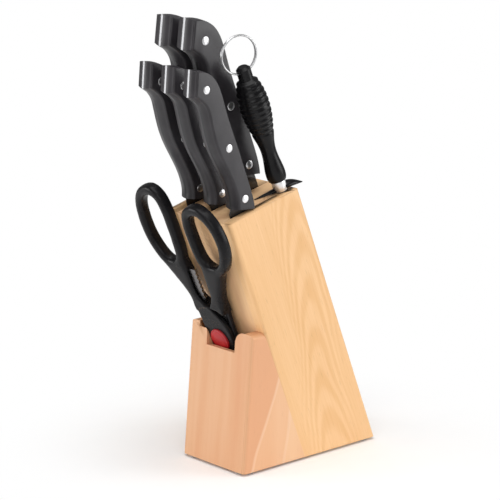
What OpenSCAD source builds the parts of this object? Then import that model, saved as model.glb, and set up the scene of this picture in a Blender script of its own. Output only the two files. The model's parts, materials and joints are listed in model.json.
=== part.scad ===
// Leaning wooden knife block with a scissors wedge in front. It holds five
// riveted knives, a sharpening steel and kitchen scissors with a cracker jaw.
// Origin: middle of the base, on the surface the feet stand on. The wedge
// faces -Y, the right cheek faces +X. Inside lean_frame() the axes are
// x (across), v (depth behind the front face) and s (up along the lean).

/* [Block] */
// Width across the cheeks
block_w = 75; // [70:1:95]
// Depth of the main block, square to the lean
block_d = 75; // [74:1:95]
// Length of the front face along the lean
front_len = 222.5; // [215:0.5:270]
// Forward lean of the main block, degrees
lean = 21.5; // [15:0.5:25]
// Fall of the top face towards the back, from square to the lean, degrees
top_fall = 7.2; // [0:0.2:10]
// Rounding of the long outer edges
edge_r = 3; // [1:0.5:5]

/* [Slots] */
// Distance between the slot columns
column_pitch = 26.8; // [26:0.1:30]
// Play on each side of a blade in its slot
slot_side_play = 0.5; // [0.3:0.05:0.7]
// Play in front of and behind a blade in its slot
slot_play = 0.8; // [0.5:0.1:1.2]
// Depth of the front row of slots, along the lean
front_slot_depth = 165; // [155:1:180]
// Height of the back handles' ends above the top face
back_lift = 13.1; // [12.5:0.1:16]
// Depth of the front knives' backs behind the front face
front_row_v = 32.5; // [32:0.1:33]
// Depth of the back knives' backs behind the front face
back_row_v = 66.6; // [66:0.1:68]

/* [Front wedge] */
// Length of the wedge's base, front to back
wedge_base = 67; // [64:1:80]
// Height of the wedge
wedge_h = 113; // [108:1:125]
// Backward lean of the wedge's front face, degrees
wedge_lean = 5; // [3:0.5:6]
// Rounding of the wedge's two top corners
shoulder_r = 5; // [2:0.5:8]
// Width of the notch at its floor
notch_w = 34; // [30:1:38]
// Depth of the notch below the wedge's top
notch_drop = 17.5; // [14:0.5:20]
// Rounding of the notch's two lips
notch_lip_r = 9; // [5:0.5:10]
// Width of the scissors pocket
pocket_w = 54; // [52:1:56]
// Room in the pocket in front of the scissors' cap
pocket_play = 0.55; // [0.4:0.05:0.8]
// Diameter of the glued dowels
dowel_d = 6; // [5:0.5:6]
// Length of a dowel
dowel_len = 20; // [16:1:22]
// Distance of the dowels from the cheeks' outer faces
dowel_inset = 5; // [4.5:0.1:5.2]
// Height of the lower dowel row along the lean
dowel_low = 38; // [30:1:45]
// Height of the upper dowel row along the lean
dowel_high = 84; // [75:1:90]

/* [Feet] */
// Height of a rubber foot
foot_h = 2.2; // [1.5:0.1:4]
// Diameter of a rubber foot
foot_d = 15; // [10:1:18]
// Distance of a foot's centre from the block's edges
foot_inset = 10; // [10:1:16]

/* [Knives] */
// Thickness of a front knife's handle
front_grip_t = 16.4; // [14:0.1:17]
// Thickness of a back knife's handle
back_grip_t = 20; // [18:0.5:20]
// Blade thickness of the front knives
front_blade_t = 1.8; // [1.2:0.1:2]
// Blade thickness of the back knives
back_blade_t = 2.2; // [1.5:0.1:2.4]
// Blade length of the paring knife
paring_len = 95; // [70:1:110]
// Blade length of the boning knife
boning_len = 140; // [120:1:150]
// Blade length of the utility knife
utility_len = 130; // [110:1:150]
// Blade length of the two back knives
long_len = 195; // [185:1:200]
// Length of a back handle over that of a front one
back_grip_stretch = 1.13; // [1:0.01:1.2]
// Depth of a back handle over that of a front one
back_grip_deepen = 1.25; // [1.1:0.01:1.26]
// Rivet diameter, front knives
front_rivet_d = 6.6; // [5:0.1:8]
// Rivet diameter, back knives
back_rivet_d = 7.2; // [5:0.1:8]
// Height of a knife's lowest rivet above the handle's end
low_rivet = 13.3; // [10:0.1:15]
// Gap between a resting piece and its seat
seat_gap = 0.3; // [0.25:0.05:0.4]

/* [Sharpening steel] */
// Distance of the steel's hole from the middle of the block
steel_x = 26; // [25.5:0.1:27]
// Depth of the steel's hole behind the front face
steel_v = 66; // [65:0.1:67]
// Diameter of the rod
rod_d = 9; // [7:0.5:9.5]
// Length of the rod below the guard
rod_len = 180; // [150:1:185]
// Play around the rod in its hole
rod_play = 1; // [0.8:0.1:1.2]
// Turn of the guard about the rod, degrees
guard_turn = 14; // [0:1:25]
// Turn of the ring and its eye about the rod, degrees
ring_turn = 12; // [0:1:20]
// Reach of the guard's front wing
guard_front = 24; // [18:1:25]
// Reach of the guard's back wing
guard_back = 20; // [16:1:24]
// Diameter of the bright ferrule
ferrule_d = 11.6; // [11:0.1:12.5]
// Outer diameter of the hanging ring
ring_d = 31; // [26:0.5:32]
// Diameter of the ring's wire
ring_wire = 1.5; // [1:0.1:1.8]
// Diameter of the eye that holds the ring
eye_d = 5.6; // [5.2:0.1:6]

/* [Scissors] */
// Pivot's distance from the middle of the block
scissors_x = -5.1; // [-6:0.1:0]
// Pivot's height along the lean
scissors_s = 113.7; // [110:0.1:120]
// Depth of the scissors' middle plane in front of the main block
scissors_v = 9; // [8.8:0.1:9.2]
// Sideways lean of the scissors in their pocket, degrees
scissors_tilt = 3.5; // [0:0.5:4]
// Length of the scissor blades below the pivot
shear_len = 86; // [70:1:88]
// Thickness of one scissor blade
shear_t = 2; // [1.5:0.1:2.4]
// Thickness of the plastic round the pivot, both halves together
boss_t = 8.2; // [7.8:0.1:8.4]
// Thickness of the finger loops
loop_t = 10.5; // [9:0.5:11]
// Width of the band round a finger loop
band_w = 8.5; // [7:0.5:9]
// Diameter of the pivot pin
pin_d = 6; // [5:0.5:6]
// Running play round the pivot pin, on the radius
pin_play = 0.05; // [0.02:0.01:0.1]
// Diameter of the pivot's cap
cap_d = 20; // [16:0.5:21]
// Thickness of the pivot's cap
cap_t = 2; // [1.5:0.1:2.1]

/* [Hidden] */
$fn = 64;

// Room that a cut runs past a face, so that it leaves no skin
past = 1;
// Play of a glued or riveted fit, on the radius
glue_play = 0.03;

// Where the block stands
main_base = block_d / cos(lean);
base_len = wedge_base + main_base;
front_y = -base_len / 2 + wedge_base;
wedge_top_s = wedge_h / cos(lean);

// A slot takes the thickest blade
slot_t = max(front_blade_t, back_blade_t) + 2 * slot_side_play;
half_gap = 0.05;

// Edges of the four glued boards: each slot is milled into one board's right face
board_edges = [
  -block_w / 2, -column_pitch + slot_t / 2, slot_t / 2, column_pitch + slot_t / 2, block_w / 2
];
columns = [-column_pitch, 0, column_pitch];

// Handle outline of a front knife: u runs from the back to the belly, w up
grip_back = [
  [2.2, 0], [1, 6], [0.2, 16], [0, 40], [0, 62], [0.2, 76], [-0.1, 88],
  [-0.8, 100], [-0.3, 110], [2.2, 118.4], [7.9, 125.6], [16, 130.3]
];
grip_belly = [
  [25.4, 111.2], [20.3, 103.5], [18.2, 96], [18.9, 88], [20, 79], [20.7, 69], [20.3, 59],
  [18.9, 48.5], [17.3, 38.6], [16.3, 30], [16.2, 22], [17.2, 14.5], [19.4, 8.3]
];
// Upper two rivets of a front knife, [u, w]
grip_rivets = [[8.4, 58.6], [11.9, 111.5]];
low_rivet_u = 8.5;
// Steps that a curve takes between two of its points
curve_steps = 5;
// Distance of a blade's back from the handle's back line
blade_back = 2.2;

// Blade widths; the front slots fit front_width and the back slots long_width
front_width = 20;
boning_width = 16;
paring_width = 18;
long_width = 28.5;
bread_width = 26.5;
// Height of the heel's straight part above the curve of the edge
heel_step = 3.5;
heel_round = 2.5;
// Thickness left at the edge, and the part of the width that is not ground
edge_t = 0.3;
flat_part = 0.4;
// Scallops of the bread knife: start below the heel, pitch, depth, plain tip
scallop_from = 4;
scallop_pitch = 8;
scallop_depth = 0.9;
scallop_rest = 10;

// Steel: stations of the handle, [height above the ferrule, radius]
spindle = [
  [0, 7.2], [3, 7.9], [8, 7.9], [13, 7.3], [19, 6.5], [26, 6.1], [33, 6.8], [40, 8.4],
  [47, 9.9], [54, 11.3], [61, 12.1], [69, 12.3], [76, 11.7], [82, 10.6], [88, 8.8]
];
rib_first = 42;
rib_pitch = 4.6;
rib_count = 10;
rib_depth = 0.7;
knob_r = 5.8;
knob_h = 13;
knob_edge = 2;
// Height of the eye above the top of the ribs
eye_rise = 8;
grip_top = spindle[len(spindle) - 1][0];
// How far the rod runs into the handle, and the room at its end
rod_in_grip = 45;
rod_end_room = 1;
// Length of the rod's tapered tip, and how much narrower its end is
rod_tip = 3;
rod_tip_loss = 4;
// How far the steel's hole runs past the rod's tip
hole_reserve = 5;
// Height that the guard is cut from, and the part below its seat
guard_cut = 20;
guard_under = 5;
// Spacing of the ring's two turns, in wire diameters
turn_pitch = 0.84;
hub_r = 6.9;
hub_h = 2.2;
wing_half = 3.9;
ferrule_h = 7;
// The guard's underside clears the sloping top face over its whole span
steel_seat = top_at(steel_v - hub_r) + 1.5 * seat_gap;
ferrule_s = steel_seat + hub_h;
grip_s = ferrule_s + ferrule_h;
eye_s = grip_s + grip_top + eye_rise;

// Half the width and the depth below the pivot that the plastic round it needs
boss_room = 21.5;
boss_drop = 13.5;
// Head of the pivot pin
pin_head_d = pin_d + 4;
pin_head_h = 1;
// Middle line of the band round each finger loop
left_ring = [
  [-28.5, 66], [-19.5, 68.5], [-14.2, 77.5], [-12.8, 90], [-12, 104], [-12, 118], [-14.6, 129.5],
  [-21.5, 135], [-30.5, 134], [-38, 129], [-43.8, 119], [-46.3, 105], [-45.6, 90], [-41.2, 78], [-36, 70.5]
];
right_ring = [
  [27, 66.5], [35.5, 71], [41, 79], [44.2, 88], [44.8, 98], [42.3, 109], [36.5, 117.5], [29, 122],
  [21, 121.6], [13.5, 117], [9.8, 107], [9.2, 96], [9.4, 85], [11.5, 74.5], [18, 67.5]
];
// Radius inside which the two halves share the thickness
cross_r = 30;
// Where the web that ties a half's layer to its own shank starts, and its size
web_start = 4;
web_w = 36;
web_h = 60;
// How far each toothed jaw stands out of its shank's inner edge
left_jaw = 7;
right_jaw = 2.4;
jaw_root = -9.4;
tooth_pitch = 4;
tooth_depth = 1.6;

function top_at(v) = front_len - v * tan(top_fall);
function slot_floor_front() = front_len - front_slot_depth;
function slot_floor_back() = back_end() - long_len - seat_gap;

// Catmull-Rom curve through a list of points
function knot(p, i) = i < 0 ? 2 * p[0] - p[1]
  : i >= len(p) ? 2 * p[len(p) - 1] - p[len(p) - 2]
  : p[i];
function blend(a, b, c, d, t) = 0.5 * (
  2 * b + (c - a) * t + (2 * a - 5 * b + 4 * c - d) * t * t + (3 * b - a - 3 * c + d) * t * t * t
);
function curve(p, n = curve_steps) = concat(
  [for (i = [0:len(p) - 2], k = [0:n - 1])
    blend(knot(p, i - 1), p[i], p[i + 1], knot(p, i + 2), k / n)],
  [p[len(p) - 1]]
);
// Closed Catmull-Rom curve, and the same curve moved out along its normals
function around(p, i) = p[(i + len(p)) % len(p)];
function closed_curve(p, n = curve_steps - 1) = [
  for (i = [0:len(p) - 1], k = [0:n - 1])
    blend(around(p, i - 1), around(p, i), around(p, i + 1), around(p, i + 2), k / n)
];
function moved_out(c, d) = [
  for (i = [0:len(c) - 1])
    let (t = around(c, i + 1) - around(c, i - 1)) c[i] - d * [t[1], -t[0]] / norm(t)
];

// Frame of the leaning block
module lean_frame() {
  translate([0, front_y, foot_h]) rotate([lean, 0, 0]) children();
}

// Plate from x0 to x1, outlined in (depth, height)
module plate_x(x0, x1) {
  translate([x0, 0, 0]) rotate([90, 0, 90]) linear_extrude(height = x1 - x0) children();
}

// Plate from v0 to v1, outlined in (across, height)
module plate_v(v0, v1) {
  translate([0, v1, 0]) rotate([90, 0, 0]) linear_extrude(height = v1 - v0) children();
}

// Square minus quarter circle: what a rounded corner at the origin loses
module corner_2d(r) {
  difference() {
    translate([-r, -r]) square(r + past);
    translate([-r, -r]) circle(r = r);
  }
}

/* ---- Block ---- */

module block_profile() {
  polygon([
    [0, 0], [block_d, -block_d * tan(lean)], [block_d, top_at(block_d)], [0, front_len]
  ]);
}

// Rounded long edges of the two cheeks; the front ones start above the wedge
module outer_edges() {
  for (side = [-1, 1]) {
    translate([side * block_w / 2, 0, wedge_top_s]) mirror([side < 0 ? 1 : 0, 0, 0])
      linear_extrude(height = front_len) mirror([0, 1]) corner_2d(edge_r);
    translate([side * block_w / 2, block_d, -block_d]) mirror([side < 0 ? 1 : 0, 0, 0])
      linear_extrude(height = front_len + 2 * block_d) corner_2d(edge_r);
  }
}

// Front row slots take the widest front blade, back row slots the long blades
module slots() {
  for (x = columns) {
    translate([x - slot_t / 2, front_row_v - blade_back - front_width - slot_play, slot_floor_front()])
      cube([slot_t, front_width + 2 * slot_play, front_len]);
  }
  for (x = [columns[0], columns[1]]) {
    translate([x - slot_t / 2, back_row_v - blade_back - long_width - slot_play, slot_floor_back()])
      cube([slot_t, long_width + 2 * slot_play, front_len]);
  }
}

module steel_hole() {
  translate([steel_x, steel_v, steel_seat - rod_len - hole_reserve])
    cylinder(d = rod_d + 2 * rod_play, h = front_len);
}

// Dowels, or their holes when play is given
module dowel_pins(play = 0) {
  for (side = [-1, 1], s = [dowel_low, dowel_high])
    translate([side * (block_w / 2 - dowel_inset), dowel_len / 2 + play, s]) rotate([90, 0, 0])
      cylinder(d = dowel_d + 2 * play, h = dowel_len + 2 * play);
}

module board(i) {
  lean_frame() difference() {
    plate_x(board_edges[i], board_edges[i + 1]) block_profile();
    outer_edges();
    slots();
    steel_hole();
    dowel_pins(glue_play);
  }
}

module left_cheek() { color([0.86, 0.68, 0.44]) board(0); }
module core_left() { color([0.85, 0.66, 0.46]) board(1); }
module core_right() { color([0.87, 0.69, 0.49]) board(2); }
module right_cheek() { color([0.88, 0.7, 0.44]) board(3); }

module wedge_profile() {
  polygon([
    [-wedge_base, 0], [0, 0], [-wedge_h * tan(lean), wedge_h],
    [-wedge_base + wedge_h * tan(wedge_lean), wedge_h]
  ]);
}

// Notch in the wedge's front wall, with rounded lips
module notch_2d() {
  translate([-notch_w / 2, wedge_h - notch_drop]) square([notch_w, notch_drop + past]);
  for (side = [-1, 1]) mirror([side < 0 ? 1 : 0, 0]) difference() {
    translate([0, wedge_h - notch_lip_r]) square([notch_w / 2 + notch_lip_r, notch_lip_r + past]);
    translate([notch_w / 2 + notch_lip_r, wedge_h - notch_lip_r]) circle(r = notch_lip_r);
  }
}

// Pocket behind the notch: wide for the opening blades, then two deeper steps
// that clear the plastic round the pivot and the pivot's cap
module scissors_pocket() {
  pocket_step(-pocket_w / 2, pocket_w / 2, shear_t + half_gap, shear_len);
  pocket_step(scissors_x - boss_room, scissors_x + boss_room, boss_t / 2, boss_drop);
  pocket_step(-notch_w / 2, notch_w / 2, boss_t / 2 + half_gap + cap_t, cap_d / 2);
}

// One step, reach in front of the scissors' middle plane and drop below their pivot
module pocket_step(left, right, reach, drop) {
  depth = scissors_v + reach + pocket_play;
  translate([left, -depth, scissors_s - drop - seat_gap])
    cube([right - left, depth + past, wedge_h * 2]);
}

module front_wedge() {
  color([0.84, 0.62, 0.45]) difference() {
    translate([0, front_y, foot_h]) difference() {
      plate_x(-block_w / 2, block_w / 2) wedge_profile();
      plate_v(-wedge_base - past, past) notch_2d();
      for (side = [-1, 1]) {
        plate_v(-wedge_base - past, past) mirror([side < 0 ? 1 : 0, 0])
          translate([block_w / 2, wedge_h]) corner_2d(shoulder_r);
        translate([side * block_w / 2, -wedge_base, -past]) mirror([side < 0 ? 1 : 0, 0, 0])
          rotate([-wedge_lean, 0, 0]) linear_extrude(height = 2 * wedge_h) mirror([0, 1])
          corner_2d(edge_r);
      }
    }
    lean_frame() {
      scissors_pocket();
      dowel_pins(glue_play);
    }
  }
}

module dowels() { color([0.8, 0.63, 0.42]) lean_frame() dowel_pins(); }

module rubber_feet() {
  color([0.45, 0.45, 0.46])
    for (x = [-1, 1], y = [-1, 1])
      translate([x * (block_w / 2 - foot_inset), y * (base_len / 2 - foot_inset), 0])
        cylinder(d = foot_d, h = foot_h);
}

/* ---- Knives ---- */

// A knife's own frame: u from its back to its belly, w up from the handle's end
module knife_frame(column, back_v, end_s) {
  lean_frame() translate([column, back_v, end_s]) mirror([0, 1, 0]) children();
}

function rivet_points(long) = concat(
  [[low_rivet_u * (long ? back_grip_deepen : 1), low_rivet]], fit_grip(grip_rivets, long)
);
function front_end() = top_at(front_row_v - blade_back) + seat_gap;
function back_end() = top_at(back_row_v - blade_back) + back_lift;
function fit_grip(p, long) = [
  for (q = p) long ? [q[0] * back_grip_deepen, q[1] * back_grip_stretch] : q
];
function grip_outline(long) = concat(curve(fit_grip(grip_back, long)), curve(fit_grip(grip_belly, long)));
function grip_end(long) = fit_grip([grip_belly[len(grip_belly) - 1]], long)[0];

// Blade below the handle: width, length, how far the tip drops from the back
function blade_outline(width, length, drop, long) =
  let (heel = grip_end(long), edge = blade_back + width)
  concat(
    [[blade_back, past], heel, [edge, heel[1] - heel_step]],
    curve([
      [edge, heel[1] - heel_step - heel_round], [edge, -0.3 * length], [edge - 0.05 * width, -0.6 * length],
      [edge - 0.22 * width, -0.8 * length], [edge - 0.55 * width, -0.93 * length],
      [blade_back + drop, -length]
    ]),
    [[blade_back + 0.35 * drop, -length + 1.2 * drop], [blade_back, -length + 3.2 * drop]]
  );

// Bread knife: scalloped edge and a blunt tip
function bread_outline(width, length) =
  let (
    heel = grip_end(true),
    edge = blade_back + width,
    count = floor((length - scallop_from - scallop_rest) / scallop_pitch)
  )
  concat(
    [[blade_back, past], heel, [edge, heel[1] - heel_step], [edge, -scallop_from]],
    [for (i = [0:count - 1], k = [1:4])
      [edge - scallop_depth * sin(45 * k), -scallop_from - scallop_pitch * (i + k / 4)]],
    [[edge - 4, -length + 5], [edge - 9, -length], [blade_back + 4, -length], [blade_back, -length + 4]]
  );

// Cross-section of a flat-ground blade, in (thickness, u)
module grind_2d(width, t) {
  polygon([
    [-t / 2, blade_back - past], [t / 2, blade_back - past],
    [t / 2, blade_back + flat_part * width], [edge_t / 2, blade_back + width + past],
    [-edge_t / 2, blade_back + width + past], [-t / 2, blade_back + flat_part * width]
  ]);
}

module rivet_set(long, d, h) {
  for (r = rivet_points(long))
    translate([-h / 2, r[0], r[1]]) rotate([0, 90, 0]) cylinder(d = d, h = h);
}

// Full tang and blade in one piece, with the rivet holes
module blade(t, width, length, drop, long, rivet_d, bread = false) {
  color([0.78, 0.79, 0.8]) difference() {
    union() {
      plate_x(-t / 2, t / 2) polygon(grip_outline(long));
      intersection() {
        plate_x(-t / 2, t / 2)
          polygon(bread ? bread_outline(width, length) : blade_outline(width, length, drop, long));
        translate([0, 0, -2 * length]) linear_extrude(height = 3 * length) grind_2d(width, t);
      }
    }
    rivet_set(long, rivet_d + 2 * glue_play, t + 2 * past);
  }
}

// One handle scale; side is -1 on the left and 1 on the right
module scale_half(side, grip_t, t, long, rivet_d) {
  color([0.11, 0.11, 0.12]) mirror([side < 0 ? 1 : 0, 0, 0]) difference() {
    plate_x(t / 2, grip_t / 2) polygon(grip_outline(long));
    rivet_set(long, rivet_d + 2 * glue_play, grip_t + 2 * past);
  }
}

module rivets(grip_t, long, rivet_d) {
  color([0.85, 0.85, 0.86]) rivet_set(long, rivet_d, grip_t);
}

module front_knife_frame(i) { knife_frame(columns[i], front_row_v, front_end()) children(); }
module back_knife_frame(i) { knife_frame(columns[i], back_row_v, back_end()) children(); }
module front_scale(i, side) {
  front_knife_frame(i) scale_half(side, front_grip_t, front_blade_t, false, front_rivet_d);
}
module back_scale(i, side) {
  back_knife_frame(i) scale_half(side, back_grip_t, back_blade_t, true, back_rivet_d);
}
module front_blade(i, width, length, drop) {
  front_knife_frame(i) blade(front_blade_t, width, length, drop, false, front_rivet_d);
}

module paring_blade() { front_blade(0, paring_width, paring_len, drop = 3); }
module paring_scale_left() { front_scale(0, -1); }
module paring_scale_right() { front_scale(0, 1); }
module paring_rivets() { front_knife_frame(0) rivets(front_grip_t, false, front_rivet_d); }

module boning_blade() { front_blade(1, boning_width, boning_len, drop = 2); }
module boning_scale_left() { front_scale(1, -1); }
module boning_scale_right() { front_scale(1, 1); }
module boning_rivets() { front_knife_frame(1) rivets(front_grip_t, false, front_rivet_d); }

module utility_blade() { front_blade(2, front_width, utility_len, drop = 3); }
module utility_scale_left() { front_scale(2, -1); }
module utility_scale_right() { front_scale(2, 1); }
module utility_rivets() { front_knife_frame(2) rivets(front_grip_t, false, front_rivet_d); }

module bread_blade() {
  back_knife_frame(0) blade(back_blade_t, bread_width, long_len, 3, true, back_rivet_d, bread = true);
}
module bread_scale_left() { back_scale(0, -1); }
module bread_scale_right() { back_scale(0, 1); }
module bread_rivets() { back_knife_frame(0) rivets(back_grip_t, true, back_rivet_d); }

module carving_blade() {
  back_knife_frame(1) blade(back_blade_t, long_width, long_len, 4, true, back_rivet_d);
}
module carving_scale_left() { back_scale(1, -1); }
module carving_scale_right() { back_scale(1, 1); }
module carving_rivets() { back_knife_frame(1) rivets(back_grip_t, true, back_rivet_d); }

/* ---- Sharpening steel ---- */

// The steel's own frame: z up its axis, turned about it
module steel_frame(turn = 0) {
  lean_frame() translate([steel_x, steel_v, 0]) rotate([0, 0, -turn]) children();
}

module steel_rod() {
  color([0.7, 0.71, 0.73]) steel_frame() {
    translate([0, 0, steel_seat - rod_len + rod_tip])
      cylinder(d = rod_d, h = rod_len - rod_tip + hub_h + ferrule_h + rod_in_grip);
    translate([0, 0, steel_seat - rod_len]) cylinder(d1 = rod_d - rod_tip_loss, d2 = rod_d, h = rod_tip);
  }
}

// Winged guard: a low hub under the ferrule and a tapering wing each way
module steel_guard() {
  color([0.1, 0.1, 0.11]) steel_frame(guard_turn) translate([0, 0, steel_seat]) difference() {
    union() {
      cylinder(r = hub_r, h = hub_h);
      intersection() {
        plate_x(-hub_r, hub_r) polygon(concat(
          curve([[-guard_front, 2.2], [-guard_front * 0.6, 1.2], [-hub_r, 0], [0, 0]]),
          curve([[0, 0], [hub_r, -0.3], [guard_back * 0.6, -1.9], [guard_back, -3.6]]),
          curve([[guard_back, -1], [guard_back * 0.7, 1], [guard_back * 0.4, 2.8], [0, 4.2]]),
          curve([[0, 4.2], [-guard_front * 0.4, 4.6], [-guard_front * 0.7, 5], [-guard_front, 4.6]])
        ));
        translate([0, 0, -guard_under]) linear_extrude(height = guard_cut) polygon([
          for (k = [0:39])
            let (a = 9 * k, reach = a < 180 ? guard_back : guard_front)
              [wing_half * sign(cos(a)) * pow(abs(cos(a)), 0.8), reach * sin(a)]
        ]);
      }
    }
    translate([0, 0, -guard_under]) cylinder(r = rod_d / 2 + glue_play, h = guard_cut);
    translate([0, 0, hub_h]) cylinder(r = ferrule_d / 2 + glue_play, h = guard_cut);
  }
}

module steel_ferrule() {
  color([0.85, 0.85, 0.86]) steel_frame() translate([0, 0, ferrule_s]) difference() {
    cylinder(d = ferrule_d, h = ferrule_h);
    translate([0, 0, -past]) cylinder(r = rod_d / 2 + glue_play, h = ferrule_h + 2 * past);
  }
}

// Spindle radius with its raised ribs, at height h above the ferrule
function rib_wave(h) = h < rib_first || h > rib_first + rib_count * rib_pitch ? 0
  : rib_depth * (0.5 - 0.5 * cos(360 * (h - rib_first) / rib_pitch));
function spindle_outline() = [for (p = curve(spindle, 6)) [p[1] - rib_wave(p[0]), p[0]]];

module steel_handle() {
  knob_top = grip_top + knob_h;
  color([0.11, 0.11, 0.12]) steel_frame(ring_turn) translate([0, 0, grip_s]) difference() {
    rotate_extrude() polygon(concat(
      [[0, 0]], spindle_outline(),
      [[knob_r, grip_top + knob_edge], [knob_r, knob_top - knob_edge], [knob_r - knob_edge, knob_top],
        [0, knob_top]]
    ));
    translate([0, 0, -past]) cylinder(r = rod_d / 2 + glue_play, h = rod_in_grip + rod_end_room + past);
    translate([0, 2 * knob_r, grip_top + eye_rise]) rotate([90, 0, 0]) cylinder(d = eye_d, h = 4 * knob_r);
  }
}

// Two turns of wire side by side, standing up from the eye
module hanging_ring() {
  major = (ring_d - ring_wire) / 2;
  color([0.8, 0.81, 0.82]) steel_frame(ring_turn) translate([0, 0, eye_s + major]) rotate([0, 90, 0])
    for (side = [-1, 1]) translate([0, 0, side * turn_pitch / 2 * ring_wire])
      rotate_extrude() translate([major, 0]) circle(d = ring_wire, $fn = 24);
}

/* ---- Scissors ---- */

// The scissors' own frame: x across, y through them, z up from the pivot
module shear_frame() {
  lean_frame() translate([scissors_x, -scissors_v, scissors_s]) rotate([0, -scissors_tilt, 0]) children();
}

// Shank from the loop down round the pivot, left half
module left_shank_2d() {
  polygon(concat(
    curve([[-42, 76], [-38.5, 67.5], [-34, 61.5], [-28.3, 53.5], [-22.3, 44.5], [-18, 34], [-16.2, 22],
      [-15.6, 10], [-15, 0], [-11.5, -9.5]]),
    curve([[0, -13], [11.5, -9.5], [15, 0], [14, 11], [9, 20], [2, 27.5], [-4.5, 33.5], [-8.6, 40],
      [-9.6, 50], [-9.6, 60], [-11, 68], [-15, 78]])
  ));
}
module right_shank_2d() {
  polygon(concat(
    curve([[41, 78], [35, 69], [28.8, 58.5], [23.2, 46.5], [19.4, 36], [17, 25], [16, 12], [15, 0],
      [11.5, -9.5]]),
    curve([[0, -13], [-11.5, -9.5], [-15, 0], [-14, 11], [-9, 20], [-2, 27.5], [4.5, 33.5], [7.2, 41],
      [8, 52], [8.6, 62], [9.6, 70], [13, 78]])
  ));
}

module loop_2d(ring) {
  difference() {
    polygon(moved_out(closed_curve(ring), -band_w / 2));
    polygon(moved_out(closed_curve(ring), band_w / 2));
  }
}

// Steel half: blade below the pivot, toothed jaw above it; reach is how far the
// jaw stands out of the shank's inner edge. Drawn for the left handle.
module shear_steel_2d(reach, grow = 0) {
  jaw = jaw_root + reach + grow;
  polygon(concat(
    [[-7, -9 - grow], [-5.2, -18], [-3.5, -24]],
    [[-1.6, -0.7 * shear_len], [0.4, -shear_len], [2.6, -shear_len + 1]],
    curve([[6.5, -0.72 * shear_len], [9, -0.45 * shear_len], [10.4, -18], [10.2, -4],
      [7.5 + grow, 6], [1 + grow, 16], [-3 + grow, 24], [jaw - 1, 32], [jaw - 0.4, 37]]),
    [for (k = [0:5]) each [
      [jaw, 38 + tooth_pitch * k], [jaw - tooth_depth, 38 + tooth_pitch * (k + 0.5)]
    ]],
    [[jaw, 62], [jaw - 1, 64 + grow], [-14 - grow, 64 + grow]],
    curve([[-15.5 - grow, 59], [-16 - grow, 50], [-14.5 - grow, 40], [-13.5 - grow, 30],
      [-13 - grow, 20], [-11 - grow, 8], [-10 - grow, -2], [-7 - grow, -9 - grow]])
  ));
}

// One half's plastic: full thickness outside the crossing, half of it inside
module shear_plastic(side) {
  layer = side < 0 ? [-boss_t / 2, -half_gap] : [half_gap, boss_t / 2];
  difference() {
    union() {
      difference() {
        plate_v(-loop_t / 2, loop_t / 2) union() {
          loop_2d(side < 0 ? left_ring : right_ring);
          difference() {
            if (side < 0) left_shank_2d(); else right_shank_2d();
            polygon(moved_out(closed_curve(side < 0 ? left_ring : right_ring), band_w / 2));
          }
        }
        translate([0, loop_t, 0]) rotate([90, 0, 0]) cylinder(r = cross_r + seat_gap, h = 2 * loop_t);
      }
      intersection() {
        plate_v(layer[0], layer[1]) if (side < 0) left_shank_2d(); else right_shank_2d();
        translate([0, loop_t, 0]) rotate([90, 0, 0])
          cylinder(r = cross_r, h = 2 * loop_t);
      }
      intersection() {
        plate_v(layer[0], layer[1]) if (side < 0) left_shank_2d(); else right_shank_2d();
        difference() {
          translate([side < 0 ? -web_start - web_w : web_start, -loop_t, 0])
            cube([web_w, 2 * loop_t, web_h]);
          translate([0, 2 * loop_t, 0]) rotate([90, 0, 0]) cylinder(r = cross_r - past, h = 4 * loop_t);
        }
      }
    }
    steel_layer(side) shear_steel_2d(side < 0 ? left_jaw : right_jaw, glue_play);
    translate([0, loop_t, 0]) rotate([90, 0, 0])
      cylinder(r = pin_d / 2 + (side < 0 ? pin_play : glue_play), h = 2 * loop_t);
  }
}

// Layer of one steel half; the right one is the left one turned over
module steel_layer(side) {
  v = side < 0 ? [-shear_t - half_gap, -half_gap] : [half_gap, shear_t + half_gap];
  plate_v(v[0], v[1]) mirror([side < 0 ? 0 : 1, 0]) children();
}

module shear_steel(side) {
  difference() {
    steel_layer(side) shear_steel_2d(side < 0 ? left_jaw : right_jaw);
    translate([0, loop_t, 0]) rotate([90, 0, 0])
      cylinder(r = pin_d / 2 + (side < 0 ? pin_play : glue_play), h = 2 * loop_t);
  }
}

module shear_blade_left() { color([0.76, 0.77, 0.79]) shear_frame() shear_steel(-1); }
module shear_blade_right() { color([0.74, 0.75, 0.77]) shear_frame() shear_steel(1); }
module shear_handle_left() { color([0.1, 0.1, 0.11]) shear_frame() shear_plastic(-1); }
module shear_handle_right() { color([0.12, 0.12, 0.13]) shear_frame() shear_plastic(1); }

// Pin fixed in the right half, with a flat head behind it
module pivot_pin() {
  color([0.75, 0.76, 0.78]) shear_frame() {
    translate([0, boss_t / 2, 0]) rotate([90, 0, 0]) cylinder(d = pin_d, h = boss_t + cap_t / 2);
    translate([0, boss_t / 2 + pin_head_h, 0]) rotate([90, 0, 0]) cylinder(d = pin_head_d, h = pin_head_h);
  }
}

// Red cap pressed on the pin's front end
module pivot_cap() {
  color([0.72, 0.07, 0.1]) shear_frame() difference() {
    translate([0, -boss_t / 2 - half_gap, 0]) rotate([90, 0, 0]) cylinder(d = cap_d, h = cap_t);
    translate([0, -boss_t / 2 + past, 0]) rotate([90, 0, 0])
      cylinder(r = pin_d / 2 + glue_play, h = cap_t / 2 + past);
  }
}

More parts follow.
